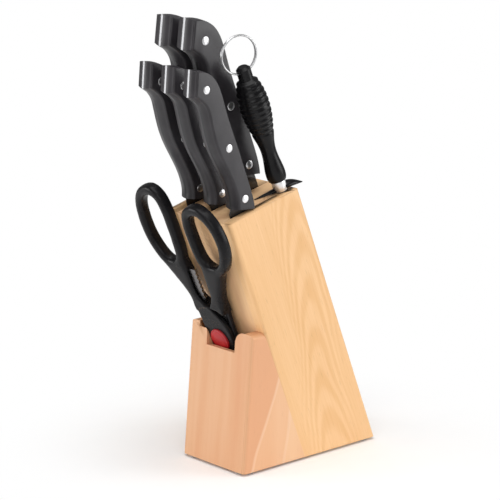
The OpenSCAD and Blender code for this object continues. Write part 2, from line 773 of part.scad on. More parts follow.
left_cheek();
core_left();
core_right();
right_cheek();
front_wedge();
dowels();
rubber_feet();
paring_blade();
paring_scale_left();
paring_scale_right();
paring_rivets();
boning_blade();
boning_scale_left();
boning_scale_right();
boning_rivets();
utility_blade();
utility_scale_left();
utility_scale_right();
utility_rivets();
bread_blade();
bread_scale_left();
bread_scale_right();
bread_rivets();
carving_blade();
carving_scale_left();
carving_scale_right();
carving_rivets();
steel_rod();
steel_guard();
steel_ferrule();
steel_handle();
hanging_ring();
shear_blade_left();
shear_blade_right();
shear_handle_left();
shear_handle_right();
pivot_pin();
pivot_cap();
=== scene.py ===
import json
import math

import bmesh
import bpy
from bpy.props import FloatProperty, FloatVectorProperty, IntProperty, PointerProperty
from mathutils import Matrix, Vector


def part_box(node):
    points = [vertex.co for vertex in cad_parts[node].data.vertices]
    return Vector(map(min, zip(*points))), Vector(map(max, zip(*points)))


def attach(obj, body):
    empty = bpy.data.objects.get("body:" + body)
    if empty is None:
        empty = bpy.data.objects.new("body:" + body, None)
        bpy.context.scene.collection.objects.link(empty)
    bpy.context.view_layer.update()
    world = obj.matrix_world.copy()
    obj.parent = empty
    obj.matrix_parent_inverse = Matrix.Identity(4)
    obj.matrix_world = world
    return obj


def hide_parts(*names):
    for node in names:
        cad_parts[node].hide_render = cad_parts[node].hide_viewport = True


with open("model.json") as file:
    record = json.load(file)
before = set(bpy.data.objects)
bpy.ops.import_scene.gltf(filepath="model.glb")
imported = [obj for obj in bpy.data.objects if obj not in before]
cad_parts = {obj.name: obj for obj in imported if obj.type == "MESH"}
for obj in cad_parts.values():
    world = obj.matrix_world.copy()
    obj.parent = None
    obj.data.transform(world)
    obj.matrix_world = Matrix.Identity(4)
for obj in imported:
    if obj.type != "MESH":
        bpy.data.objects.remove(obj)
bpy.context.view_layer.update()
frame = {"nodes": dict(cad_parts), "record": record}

bl_info = {
    "name": "Knife block with knives",
    "version": (1, 0, 0),
    "blender": (4, 5, 0),
    "location": "3D View > Sidebar > Knife block",
    "description": "Dresses a wooden knife block, its knives, sharpening steel and scissors",
    "category": "Object",
}

RECORD = frame["record"]
JOINTS = {j["name"]: j for j in RECORD["behaviour"]["joints"]}
BODY_OF = {n: b for b, nodes in RECORD["behaviour"]["bodies"].items() for n in nodes}
SLOT_OF = {s["node"]: s["material_slot"] for s in RECORD["subparts"]}

# The block leans forward by this angle, and every knife slides out along it
UP_LEAN = Vector(JOINTS["paring_slide"]["axis"]).normalized()
LEAN = math.atan2(-UP_LEAN.y, UP_LEAN.z)
TO_LEAN = Matrix.Rotation(-LEAN, 4, "X")
FROM_LEAN = Matrix.Rotation(LEAN, 4, "X")

FRONT_KNIVES = ("paring", "boning", "utility")
BACK_KNIVES = ("bread", "carving")


def tone(r, g, b):
    """Colour from screen values of 0 to 255, as light values."""
    return tuple((c / 255 / 12.92) if c < 10.4 else ((c / 255 + 0.055) / 1.055) ** 2.4 for c in (r, g, b))


# ---------------------------------------------------------------- settings


class WoodSettings(bpy.types.PropertyGroup):
    cheek_pale: FloatVectorProperty(
        name="Cheek, pale grain", description="Colour of the cheeks between the growth lines",
        subtype="COLOR", size=3, min=0, max=1, default=tone(241, 198, 148))
    cheek_dark: FloatVectorProperty(
        name="Cheek, growth lines", description="Colour of the growth lines on the cheeks",
        subtype="COLOR", size=3, min=0, max=1, default=tone(222, 168, 108))
    wedge_pale: FloatVectorProperty(
        name="Wedge, pale grain", description="Colour of the pale stripes on the wedge",
        subtype="COLOR", size=3, min=0, max=1, default=tone(219, 171, 131))
    wedge_dark: FloatVectorProperty(
        name="Wedge, deep grain", description="Colour of the deep stripes on the wedge",
        subtype="COLOR", size=3, min=0, max=1, default=tone(210, 148, 104))
    rim: FloatProperty(
        name="Softened rim", description="Radius of the sanded edges",
        unit="LENGTH", min=0.0001, max=0.002, default=0.0007)


class HandleSettings(bpy.types.PropertyGroup):
    crown: FloatProperty(
        name="Crown", description="How far a scale falls away from the tang to its flat side",
        unit="LENGTH", min=0.001, max=0.005, default=0.0017)
    corner: FloatProperty(
        name="Corner", description="Radius between the crown and the flat side",
        unit="LENGTH", min=0.0005, max=0.004, default=0.0019)
    back_ratio: FloatProperty(
        name="Back knives", description="Size of the back knives' crown and corner over the front ones'",
        min=1, max=1.5, default=1.2)
    plastic: FloatVectorProperty(
        name="Scale plastic", description="Colour of the knives' black scales",
        subtype="COLOR", size=3, min=0, max=1, default=(0.026, 0.0235, 0.0268))
    gloss: FloatProperty(
        name="Scale roughness", description="Roughness of the knives' black scales",
        min=0.1, max=0.8, default=0.36)


class SteelSettings(bpy.types.PropertyGroup):
    blade: FloatVectorProperty(
        name="Blade steel", description="Colour of the blades and tangs",
        subtype="COLOR", size=3, min=0, max=1, default=(0.5, 0.48, 0.48))
    tang: FloatVectorProperty(
        name="Tang edge", description="Colour of the tang's edge between the scales",
        subtype="COLOR", size=3, min=0, max=1, default=(0.07, 0.07, 0.072))
    chrome: FloatVectorProperty(
        name="Bright metal", description="Colour of the ring, ferrule and rivets",
        subtype="COLOR", size=3, min=0, max=1, default=(0.86, 0.86, 0.87))
    grip: FloatVectorProperty(
        name="Grip plastic", description="Colour of the sharpening steel's ribbed grip",
        subtype="COLOR", size=3, min=0, max=1, default=(0.004, 0.0038, 0.0045))


class ScissorSettings(bpy.types.PropertyGroup):
    plastic: FloatVectorProperty(
        name="Loop plastic", description="Colour of the scissors' handles",
        subtype="COLOR", size=3, min=0, max=1, default=(0.009, 0.0085, 0.0095))
    button: FloatVectorProperty(
        name="Button", description="Colour of the cap over the pivot",
        subtype="COLOR", size=3, min=0, max=1, default=tone(160, 16, 24))
    grain: FloatProperty(
        name="Moulding detail", description="Size of the cells that the moulded handles are rounded with",
        unit="LENGTH", min=0.0003, max=0.001, default=0.0006)
    edges: IntProperty(
        name="Edge passes", description="How often the moulded handles' edges are eased",
        min=1, max=60, default=12)
    passes: IntProperty(
        name="Loop passes", description="How often the finger loops are rounded on top of that",
        min=1, max=400, default=220)


class StudioSettings(bpy.types.PropertyGroup):
    azimuth: FloatProperty(
        name="Azimuth", description="Direction the camera stands in, from the front towards the right",
        unit="ROTATION", default=math.radians(48.08))
    elevation: FloatProperty(
        name="Elevation", description="Height of the camera above the floor, as an angle",
        unit="ROTATION", default=math.radians(13.8))
    distance: FloatProperty(
        name="Distance", description="Distance from the camera to its target",
        unit="LENGTH", min=0.3, max=10, default=1.9)
    target: FloatVectorProperty(
        name="Target", description="Point the camera looks at",
        subtype="TRANSLATION", size=3, default=(-0.01943, -0.01603, 0.16746))
    lens: FloatProperty(
        name="Focal length", description="Focal length of the camera in millimetres",
        min=20, max=300, default=167.73)
    light: FloatProperty(
        name="Light level", description="Level of all studio lamps together",
        min=0.1, max=3, default=1.0)


# ---------------------------------------------------------------- materials


class Finish:
    """One node material, built step by step. Lower-case names are settings, others are sockets."""

    def __init__(self, name):
        self.material = bpy.data.materials.new(name)
        self.material.use_nodes = True
        self.tree = self.material.node_tree
        self.tree.nodes.clear()

    def put(self, socket, value):
        if isinstance(value, bpy.types.NodeSocket):
            self.tree.links.new(value, socket)
        elif socket.type == "RGBA" and len(value) == 3:
            socket.default_value = (*value, 1)
        else:
            socket.default_value = value

    def add(self, kind, out=0, **parts):
        node = self.tree.nodes.new("ShaderNode" + kind)
        for key, value in parts.items():
            if key[0].islower():
                setattr(node, key, value)
        for key, value in parts.items():
            if not key[0].islower():
                self.put(node.inputs[key.replace("_", " ")], value)
        return node.outputs[out]

    def sum(self, kind, a, b=0.0, c=0.0, clamp=False):
        node = self.tree.nodes.new("ShaderNodeMath")
        node.operation = kind
        node.use_clamp = clamp
        for socket, value in zip(node.inputs, (a, b, c)):
            self.put(socket, value)
        return node.outputs[0]

    def mix(self, factor, a, b, kind="MIX"):
        node = self.tree.nodes.new("ShaderNodeMix")
        node.data_type = "RGBA"
        node.blend_type = kind
        for socket, value in zip((node.inputs[0], node.inputs[6], node.inputs[7]), (factor, a, b)):
            self.put(socket, value)
        return node.outputs[2]

    def step(self, value, low, high, to_low=0.0, to_high=1.0):
        return self.add("MapRange", Value=value, From_Min=low, From_Max=high, To_Min=to_low,
                        To_Max=to_high, interpolation_type="SMOOTHSTEP")

    def place(self, turn=0.0, stretch=(1, 1, 1), shift=(0, 0, 0)):
        """Coordinates of the piece itself, turned about X, then stretched."""
        here = self.add("TexCoord", out=3)
        turned = self.add("Mapping", Vector=here, Rotation=(turn, 0, 0))
        return self.add("Mapping", Vector=turned, Scale=stretch, Location=shift)

    def split(self, where):
        """X, Y and Z of coordinates."""
        node = self.tree.nodes.new("ShaderNodeSeparateXYZ")
        self.put(node.inputs[0], where)
        return node.outputs

    def speckle(self, where, scale=1.0, detail=2.0, rough=0.5):
        return self.add("TexNoise", Vector=where, Scale=scale, Detail=detail, Roughness=rough)

    def bump(self, height, depth, strength=1.0):
        return self.add("Bump", Height=height, Distance=depth, Strength=strength)

    def finish(self, **parts):
        shader = self.add("BsdfPrincipled", **parts)
        out = self.tree.nodes.new("ShaderNodeOutputMaterial")
        self.tree.links.new(shader, out.inputs["Surface"])
        return self.material


def cheek_wood(name, pale, dark, arch_at, arch_slope, seed):
    """Flat-sawn board: growth lines in tall arches, fine pores along the grain."""
    line_gap, steepness, wavering = 0.036, 200.0, 0.02
    arch_core, arch_edge, side_lines = 0.00012, 0.0009, 0.45
    f = Finish(name)
    _, depth, height = f.split(f.place(-LEAN))
    drift = f.speckle(f.place(-LEAN, (30, 30, 9), (seed, 0, 0)), 1, 2)
    wander = f.sum("MULTIPLY_ADD", drift, wavering, -wavering / 2)
    ridge = f.sum("MULTIPLY_ADD", height, arch_slope, arch_at)
    off = f.sum("ADD", f.sum("SUBTRACT", depth, ridge), wander)
    squared = f.sum("MULTIPLY", off, off)
    rise = f.sum("MULTIPLY", squared, steepness)
    field = f.sum("ADD", f.sum("ADD", height, rise), f.sum("MULTIPLY", drift, 2 * wavering))
    lines = f.sum("SINE", f.sum("MULTIPLY", field, 2 * math.pi / line_gap))
    lines = f.step(lines, -0.9, 1.0)
    # The lines fade away from the arches' ridge, into an even tone
    lines = f.sum("MULTIPLY", lines, f.step(squared, arch_core, arch_edge, 1.0, 0.0))
    lines = f.sum("ADD", lines, f.step(squared, arch_core, arch_edge, 0.0, side_lines))
    broad = f.speckle(f.place(-LEAN, (60, 60, 5), (seed, 3, 0)), 1, 3)
    fine = f.speckle(f.place(-LEAN, (900, 900, 22), (seed, 0, 5)), 1, 3)
    pores = f.step(f.speckle(f.place(-LEAN, (1300, 1300, 110), (0, seed, 0)), 1, 2), 0.64, 0.74)
    amount = f.sum("ADD", f.sum("MULTIPLY", lines, 0.34), f.sum("MULTIPLY", broad, 0.6))
    amount = f.sum("ADD", amount, f.sum("MULTIPLY", fine, 0.6))
    amount = f.sum("ADD", amount, -0.44, clamp=True)
    colour = f.mix(amount, pale, dark)
    colour = f.mix(f.sum("MULTIPLY", pores, 0.24), colour, [c * 0.55 for c in dark])
    rough = f.sum("MULTIPLY_ADD", fine, 0.16, 0.36)
    grain = f.sum("SUBTRACT", fine, f.sum("MULTIPLY", pores, 0.6))
    return f.finish(Base_Color=colour, Roughness=rough, Normal=f.bump(grain, 0.00006, 0.5),
                    Specular_IOR_Level=0.35)


def wedge_wood(name, pale, dark, lean, seed, side_x=0.0, rings=()):
    """Straight-grained board in upright stripes; two rings, if given, part its side at side_x."""
    side_blend, ring_edge, ring_line = (0.0013, 0.0002), 0.0012, (0.0006, 0.0024)
    f = Finish(name)
    broad = f.speckle(f.place(lean, (70, 16, 3), (seed, 1, 0)), 1, 2)
    stripes = f.speckle(f.place(lean, (260, 60, 6), (seed, 0, 2)), 1, 3)
    fine = f.speckle(f.place(lean, (1100, 700, 20), (0, seed, 0)), 1, 2)
    pores = f.step(f.speckle(f.place(lean, (1400, 1400, 120), (0, 2, seed)), 1, 2), 0.64, 0.74)
    amount = f.sum("MULTIPLY", f.step(broad, 0.3, 0.7), 0.6)
    amount = f.sum("ADD", amount, f.sum("MULTIPLY", stripes, 0.5))
    amount = f.sum("ADD", amount, f.sum("MULTIPLY", fine, 0.25))
    amount = f.sum("ADD", amount, -0.3, clamp=True)
    colour = f.mix(amount, pale, dark)
    if rings:
        x, y, z = f.split(f.place(0))
        drift = f.speckle(f.place(0, (20, 30, 30), (0, seed, 0)), 1, 1)
        waver = f.sum("MULTIPLY_ADD", drift, 0.006, -0.003)
        side = f.step(x, side_x - side_blend[0], side_x - side_blend[1])
        beyond, line = [], []
        for foot, slope in rings:
            ring = f.sum("MULTIPLY_ADD", z, slope, foot)
            away = f.sum("ADD", f.sum("SUBTRACT", y, ring), waver)
            beyond.append(f.step(away, -ring_edge, ring_edge))
            line.append(f.step(f.sum("ABSOLUTE", away), *ring_line, 1.0, 0.0))
        deep = f.sum("MULTIPLY_ADD", beyond[0], -0.5, f.sum("MULTIPLY_ADD", beyond[1], -0.25, 0.75))
        colour = f.mix(side, colour, (1.17, 1.29, 1.37), "MULTIPLY")
        ring_dark = [k * c for k, c in zip((1.1, 1.15, 1.27), dark)]
        ring_pale = [k * c for k, c in zip((1.18, 1.36, 1.6), pale)]
        colour = f.mix(f.sum("MULTIPLY", deep, side), colour, ring_dark)
        thin = f.sum("MULTIPLY", f.sum("MAXIMUM", line[0], line[1]), 0.6)
        colour = f.mix(f.sum("MULTIPLY", thin, side), colour, ring_pale)
    colour = f.mix(f.sum("MULTIPLY", pores, 0.12), colour, [c * 0.6 for c in dark])
    rough = f.sum("MULTIPLY_ADD", fine, 0.16, 0.38)
    return f.finish(Base_Color=colour, Roughness=rough, Normal=f.bump(fine, 0.00005, 0.5),
                    Specular_IOR_Level=0.35)


def moulded_plastic(name, colour, rough, texture=0.00002, scale=1800, specular=0.5):
    """Satin plastic with a faint moulded skin and slightly uneven gloss."""
    f = Finish(name)
    skin = f.speckle(f.place(), scale, 2)
    cloud = f.speckle(f.place(), 60, 3)
    worn = f.sum("MULTIPLY_ADD", cloud, 0.14, rough - 0.07)
    tint = f.mix(f.step(cloud, 0.35, 0.7), [c * 0.85 for c in colour], [c * 1.2 for c in colour])
    return f.finish(Base_Color=tint, Roughness=worn, Normal=f.bump(skin, texture, 0.4),
                    Specular_IOR_Level=specular)


def brushed_steel(name, colour, rough, stretch, depth=0.00001):
    """Metal with fine parallel grinding lines and a few clouds in its gloss."""
    f = Finish(name)
    lines = f.speckle(f.place(-LEAN, stretch), 1, 3)
    cloud = f.speckle(f.place(), 90, 2)
    worn = f.sum("ADD", f.sum("MULTIPLY", lines, 0.18), f.sum("MULTIPLY_ADD", cloud, 0.1, rough - 0.12))
    tint = f.mix(cloud, [c * 0.92 for c in colour], colour)
    return f.finish(Base_Color=tint, Metallic=1.0, Roughness=worn, Normal=f.bump(lines, depth, 0.4))


def tang_steel(name, blade, tang, foot, butt):
    """Ground blade, darkened just below the handle by painted shade; its tang is dull in the grip and
    made bright at the butt by a painted highlight.
    """
    # Painted shade darkens the blade within the first of these distances below the handle's foot and
    # fades out by the second
    heel_shade_top, heel_shade_end = 0.012, 0.03
    # Painted highlight brightens the tang within the first of these distances below the butt and fades
    # out by the second
    highlight_top, highlight_end = 0.02, 0.034
    blend = 0.0005
    f = Finish(name)
    height = f.split(f.place(-LEAN))[2]
    inside = f.step(height, foot - blend, foot + blend)
    lines = f.speckle(f.place(-LEAN, (40, 60, 2500)), 1, 3)
    cloud = f.speckle(f.place(), 120, 3)
    # Painted shade mask: 1 close under the handle's foot, 0 further down the blade
    heel_shade = f.step(height, foot - heel_shade_end, foot - heel_shade_top)
    # Painted highlight mask: 1 close under the butt, 0 further down the tang
    bright = f.step(height, butt - highlight_end, butt - highlight_top)
    # Blade colour, with the painted shade mixed in near the handle
    blade_and_heel_shade = f.mix(heel_shade, f.mix(cloud, [c * 0.85 for c in blade], blade), [c * 0.12 for c in blade])
    # Tang colour, with the painted highlight mixed in near the butt
    edge = f.mix(bright, f.mix(cloud, [c * 0.6 for c in tang], tang), [c * 3.2 for c in tang])
    tint = f.mix(inside, blade_and_heel_shade, edge)
    worn = f.sum("MULTIPLY_ADD", inside, 0.2, f.sum("MULTIPLY_ADD", lines, 0.16, 0.1))
    return f.finish(Base_Color=tint, Metallic=1.0, Roughness=worn, Normal=f.bump(lines, 0.00001, 0.3))


def foot_rubber(name):
    """Dull grey rubber with a fine skin."""
    f = Finish(name)
    skin = f.speckle(f.place(), 1500, 3)
    tint = f.mix(skin, tone(120, 120, 122), tone(150, 150, 152))
    return f.finish(Base_Color=tint, Roughness=f.sum("MULTIPLY_ADD", skin, 0.1, 0.7),
                    Normal=f.bump(skin, 0.00005, 0.4))


MATERIALS = {}


def dress(obj, slot, material):
    """Gives a piece its finish; the slot argument is not used."""
    obj.data.materials.clear()
    obj.data.materials.append(MATERIALS[material])
    return obj


# ---------------------------------------------------------------- shapes


def merged(node):
    """The CAD node's mesh as a bmesh with its split corners joined again."""
    bm = bmesh.new()
    bm.from_mesh(frame["nodes"][node].data)
    bmesh.ops.remove_doubles(bm, verts=bm.verts, dist=1e-6)
    return bm


def piece(name, bm, like, matrix=None, smooth_under=40):
    """Turns a bmesh into a piece that stands for the CAD node and rides on its body."""
    if matrix is not None:
        bm.transform(matrix)
    bmesh.ops.recalc_face_normals(bm, faces=bm.faces)
    mesh = bpy.data.meshes.new(name)
    bm.to_mesh(mesh)
    bm.free()
    mesh.shade_smooth()
    mesh.set_sharp_from_angle(angle=math.radians(smooth_under))
    obj = bpy.data.objects.new(name, mesh)
    bpy.context.scene.collection.objects.link(obj)
    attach(obj, BODY_OF[like])
    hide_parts(like)
    return obj


def lean_box(node):
    """Lowest and highest corner of a node in the leaning frame."""
    points = [TO_LEAN @ v.co for v in frame["nodes"][node].data.vertices]
    low = Vector([min(p[k] for p in points) for k in range(3)])
    high = Vector([max(p[k] for p in points) for k in range(3)])
    return low, high


def outer_loop(bm, x):
    """Longest edge loop of the flat face that lies at x, as points in order."""
    # A dictionary keeps the faces in order, so the loop starts at the same corner in every run
    flat = dict.fromkeys(f for f in bm.faces if all(abs(v.co.x - x) < 1e-5 for v in f.verts))
    rim = [e for f in flat for e in f.edges if sum(g in flat for g in e.link_faces) == 1]
    step = {}
    for e in rim:
        for a, b in (e.verts, reversed(e.verts)):
            step.setdefault(a, []).append(b)
    loops, seen = [], set()
    for start in step:
        if start in seen:
            continue
        loop, here, back = [], start, None
        while here not in seen:
            seen.add(here)
            loop.append(here)
            here, back = next((n for n in step[here] if n is not back), start), here
        loops.append(loop)

    def length(loop):
        return sum((a.co - b.co).length for a, b in zip(loop, loop[1:] + loop[:1]))

    best = max(loops, key=length)
    points = [Vector((v.co.y, v.co.z)) for v in best]
    area = sum(a.x * b.y - b.x * a.y for a, b in zip(points, points[1:] + points[:1]))
    return points if area > 0 else points[::-1]


def clear_of(point, outline, insets):
    """True if a point keeps each side's inset from that side."""
    for a, b, inset in zip(outline, outline[1:] + outline[:1], insets):
        d = b - a
        t = max(0.0, min(1.0, (point - a).dot(d) / max(d.length_squared, 1e-18)))
        if (point - a - d * t).length < 0.96 * inset - 1e-6:
            return False
    return True


def drawn_in(outline, insets):
    """The outline with each side moved inwards by its own inset, its corners kept sharp."""
    furthest_corner = 0.012
    n = len(outline)
    ways = [(outline[(i + 1) % n] - p).normalized() for i, p in enumerate(outline)]
    moved = []
    for i, p in enumerate(outline):
        a, b = ways[i - 1], ways[i]
        na, nb = Vector((-a.y, a.x)), Vector((-b.y, b.x))
        turn = na.x * nb.y - na.y * nb.x
        if abs(turn) > 0.02:
            da, db = insets[i - 1], insets[i]
            moved.append(p + Vector((da * nb.y - db * na.y, na.x * db - nb.x * da)) / turn)
        else:
            moved.append(p + (na + nb).normalized() * (insets[i - 1] + insets[i]) / 2)
    good = [clear_of(q, outline, insets) for q in moved]
    result = list(moved)
    first = good.index(True)
    k = first
    while k < first + n:
        if good[k % n]:
            k += 1
            continue
        end = k
        while not good[end % n]:
            end += 1
        a, b = (k - 1) % n, end % n
        meet = (moved[a] + moved[b]) / 2
        da, db = ways[a], ways[(end - 1) % n]
        cross = da.x * db.y - da.y * db.x
        if abs(cross) > 0.05:
            gap = moved[b] - moved[a]
            corner = moved[a] + da * ((gap.x * db.y - gap.y * db.x) / cross)
            if (corner - meet).length < furthest_corner:
                meet = corner
        for j in range(k, end):
            result[j % n] = meet
        k = end
    return result


def crowned_scale(node, crown, corner):
    """Handle scale: its edge slopes from the tang to a flat side through a rounded corner."""
    foot_share, edge_share, spine_shift = 0.06, 0.6, 0.42
    foot_height, flat_drop, slope_power, arc_steps = 0.012, 0.00005, 1.5, 6
    bm = merged(node)
    bm.transform(TO_LEAN)
    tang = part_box(node.split("_")[0] + "_blade")
    middle = (tang[0].x + tang[1].x) / 2
    xs = sorted((v.co.x for v in bm.verts), key=lambda x: abs(x - middle))
    near, far = xs[0], xs[-1]
    outline = outer_loop(bm, far)
    bm.free()
    outward = 1 if far > near else -1
    thick = abs(far - near)
    foot = min(p.y for p in outline)
    share = []
    for a, b in zip(outline, outline[1:] + outline[:1]):
        way = (b - a).normalized()
        at_foot = way.x > 0.6 and min(a.y, b.y) < foot + foot_height
        share.append(foot_share if at_foot else edge_share)
    rise = thick - corner
    # Height above the tang and inset of each row: the slope, then the corner's quarter turn
    rows = [(rise * t, crown * t ** slope_power) for t in (0.0, 0.2, 0.4, 0.6, 0.8, 1.0)]
    for k in range(1, arc_steps + 1):
        a = math.radians(90 / arc_steps * k)
        rows.append((rise + corner * math.sin(a), crown + corner * (1 - math.cos(a))))
    made = bmesh.new()
    rings = []
    for out, inset in rows:
        loop = drawn_in(outline, [inset * s for s in share]) if inset else outline
        x = near + outward * (out - (flat_drop if out > thick - 1e-6 else 0))
        # Shifted towards the spine, so that the belly side takes most of the crown
        rings.append([made.verts.new((x, p.x + spine_shift * inset, p.y)) for p in loop])
    n = len(outline)
    for low, high in zip(rings, rings[1:]):
        for i in range(n):
            made.faces.new((low[i], low[(i + 1) % n], high[(i + 1) % n], high[i]))
    made.faces.new(rings[0][::-1])
    made.faces.new(rings[-1])
    bmesh.ops.remove_doubles(made, verts=made.verts, dist=2e-6)
    return piece(node + "_crowned", made, node, FROM_LEAN, 28)


def moulded(node, cell, edge_passes, loop_passes, pivot, flat_within):
    """Moulded scissor handle: fine cells, all edges eased, the finger loops made fully round."""
    fade = 0.3 * flat_within
    mesh = bpy.data.meshes.new(node + "_cells")
    bm = merged(node)
    bm.to_mesh(mesh)
    bm.free()
    raw = bpy.data.objects.new(node + "_cells", mesh)
    bpy.context.scene.collection.objects.link(raw)
    cells = raw.modifiers.new("cells", "REMESH")
    cells.mode = "VOXEL"
    cells.voxel_size = cell
    fine = bpy.data.meshes.new_from_object(raw.evaluated_get(bpy.context.evaluated_depsgraph_get()))
    bpy.data.objects.remove(raw)
    bm = bmesh.new()
    bm.from_mesh(fine)
    obj = piece(node + "_moulded", bm, node, None, 180)
    loops = obj.vertex_groups.new(name="loops")
    for v in obj.data.vertices:
        t = min(1.0, max(0.0, ((v.co - pivot).length - flat_within) / fade))
        loops.add([v.index], t * t * (3 - 2 * t), "REPLACE")
    for name, passes, group in (("eased edges", edge_passes, ""), ("round loops", loop_passes, "loops")):
        ease = obj.modifiers.new(name, "SMOOTH")
        ease.factor = 0.5
        ease.iterations = passes
        ease.vertex_group = group
    return obj


def evenly_shaded(obj):
    """Lets the broad flat faces set the shading, so that roundings don't stain them."""
    even = obj.modifiers.new("even shading", "WEIGHTED_NORMAL")
    even.keep_sharp = True
    even.weight = 80
    return obj


def rimmed(node, width):
    """The node's own shape with its sharp edges rounded."""
    obj = piece(node + "_finished", merged(node), node)
    rim = obj.modifiers.new("rim", "BEVEL")
    rim.width = width
    rim.segments = 3
    rim.limit_method = "ANGLE"
    rim.angle_limit = math.radians(38)
    return evenly_shaded(obj)


def lathe(profile, steps=64):
    """Solid of revolution about Z from points of (radius, height)."""
    bm = bmesh.new()
    rings = []
    for r, h in profile:
        if r < 1e-7:
            rings.append([bm.verts.new((0, 0, h))])
        else:
            turns = [2 * math.pi * k / steps for k in range(steps)]
            rings.append([bm.verts.new((r * math.cos(t), r * math.sin(t), h)) for t in turns])
    for low, high in zip(rings, rings[1:]):
        for k in range(steps):
            quad = [low[k % len(low)], low[(k + 1) % len(low)]]
            quad += [high[(k + 1) % len(high)], high[k % len(high)]]
            face = list(dict.fromkeys(quad))
            if len(face) > 2:
                bm.faces.new(face)
    return bm


def facing(way, centre):
    """Matrix that lays local Z along a direction, at a centre."""
    return Matrix.Translation(centre) @ Vector(way).to_track_quat("Z", "Y").to_matrix().to_4x4()


def domed_rivets(node, dome):
    """Rivets through the handle, each with two slightly domed heads."""
    whole = merged(node)
    # A dictionary keeps the corners in order, so the rivets come in the same order in every run
    made, left = bmesh.new(), dict.fromkeys(whole.verts)
    while left:
        island = [left.popitem()[0]]
        for v in island:
            near = [n for n in (e.other_vert(v) for e in v.link_edges) if n in left]
            island += near
            for n in near:
                del left[n]
        low = Vector([min(v.co[k] for v in island) for k in range(3)])
        high = Vector([max(v.co[k] for v in island) for k in range(3)])
        half, r = (high.x - low.x) / 2, (high.y - low.y) / 2
        # Shares of the radius, and of the dome's height above the end of the CAD's rivet
        head = [(0, 1), (0.4, 0.86), (0.7, 0.52), (0.88, 0.2), (0.97, -0.15), (1, -0.6)]
        profile = [(r * a, -half - dome * b) for a, b in head]
        profile += [(r * a, half + dome * b) for a, b in reversed(head)]
        rivet = lathe(profile, 40)
        rivet.transform(facing((1, 0, 0), (low + high) / 2))
        mesh = bpy.data.meshes.new("rivet")
        rivet.to_mesh(mesh)
        rivet.free()
        made.from_mesh(mesh)
        bpy.data.meshes.remove(mesh)
    whole.free()
    return piece(node + "_domed", made, node, None, 60)


# ---------------------------------------------------------------- operators


class KNIFEBLOCK_OT_boards(bpy.types.Operator):
    """Finish the four glued boards of the leaning block"""

    bl_idname = "knifeblock.boards"
    bl_label = "Block boards"

    def execute(self, context):
        wood = context.scene.block_wood
        low, high = lean_box("right_cheek")
        depth = high.y - low.y
        # Where the ridge of the arches starts, as a share of the depth, and how far it leans
        for side, share, slope, seed in (("right", 0.42, 0.157, 0.0), ("left", 0.4, 0.1, 4.0)):
            name = side + " cheek wood"
            MATERIALS[name] = cheek_wood(
                name, wood.cheek_pale, wood.cheek_dark, low.y + share * depth, slope, seed)
        MATERIALS["core wood"] = wedge_wood("core wood", wood.cheek_pale, wood.wedge_pale, -LEAN, 2.0)
        for node in ("left_cheek", "core_left", "core_right", "right_cheek"):
            obj = evenly_shaded(piece(node + "_board", merged(node), node))
            kind = node.replace("_", " ") + " wood" if "cheek" in node else "core wood"
            dress(obj, SLOT_OF[node], kind)
        return {"FINISHED"}


class KNIFEBLOCK_OT_wedge(bpy.types.Operator):
    """Finish the front wedge, its dowels and the rubber feet"""

    bl_idname = "knifeblock.wedge"
    bl_label = "Front wedge and feet"

    def execute(self, context):
        wood = context.scene.block_wood
        low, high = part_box("front_wedge")
        reach, foot_rim = high.y - low.y, 0.0005
        # Where each ring crosses the foot, as a share of the depth, and how far it leans
        rings = [(low.y + share * reach, slope) for share, slope in ((0.113, 0.42), (0.643, 0.167))]
        MATERIALS["wedge wood"] = wedge_wood(
            "wedge wood", wood.wedge_pale, wood.wedge_dark, 0.0, 7.0, high.x, rings)
        MATERIALS["dowel wood"] = wedge_wood("dowel wood", wood.cheek_pale, wood.cheek_dark, 0.0, 1.0)
        MATERIALS["foot rubber"] = foot_rubber("foot rubber")
        dress(rimmed("front_wedge", wood.rim), SLOT_OF["front_wedge"], "wedge wood")
        dress(frame["nodes"]["dowels"], SLOT_OF["dowels"], "dowel wood")
        dress(rimmed("rubber_feet", foot_rim), SLOT_OF["rubber_feet"], "foot rubber")
        return {"FINISHED"}


class KNIFEBLOCK_OT_blades(bpy.types.Operator):
    """Finish the knives' blades with their full tangs"""

    bl_idname = "knifeblock.blades"
    bl_label = "Knife blades"

    def execute(self, context):
        steel = context.scene.block_steel
        for knife in FRONT_KNIVES + BACK_KNIVES:
            node, name = knife + "_blade", knife + " blade steel"
            low, high = lean_box(knife + "_scale_left")
            # Each blade's finish carries painted shade near the handle and a painted highlight on the
            # tang near the butt
            MATERIALS[name] = tang_steel(name, steel.blade, steel.tang, low.z, high.z)
            dress(frame["nodes"][node], SLOT_OF[node], name)
        return {"FINISHED"}


class KNIFEBLOCK_OT_scales(bpy.types.Operator):
    """Make the crowned black scales on both sides of each tang"""

    bl_idname = "knifeblock.scales"
    bl_label = "Handle scales"

    def execute(self, context):
        grip = context.scene.block_handles
        MATERIALS["scale plastic"] = moulded_plastic(
            "scale plastic", grip.plastic, grip.gloss, specular=0.42)
        for knife in FRONT_KNIVES + BACK_KNIVES:
            size = grip.back_ratio if knife in BACK_KNIVES else 1.0
            for side in ("left", "right"):
                node = f"{knife}_scale_{side}"
                scale = crowned_scale(node, grip.crown * size, grip.corner * size)
                dress(scale, SLOT_OF[node], "scale plastic")
        return {"FINISHED"}


class KNIFEBLOCK_OT_rivets(bpy.types.Operator):
    """Finish the rivets through the handles"""

    bl_idname = "knifeblock.rivets"
    bl_label = "Rivets"

    def execute(self, context):
        steel = context.scene.block_steel
        dome = 0.0004
        MATERIALS["rivet metal"] = brushed_steel("rivet metal", steel.chrome, 0.3, (800, 800, 800))
        for knife in FRONT_KNIVES + BACK_KNIVES:
            node = knife + "_rivets"
            dress(domed_rivets(node, dome), SLOT_OF[node], "rivet metal")
        return {"FINISHED"}


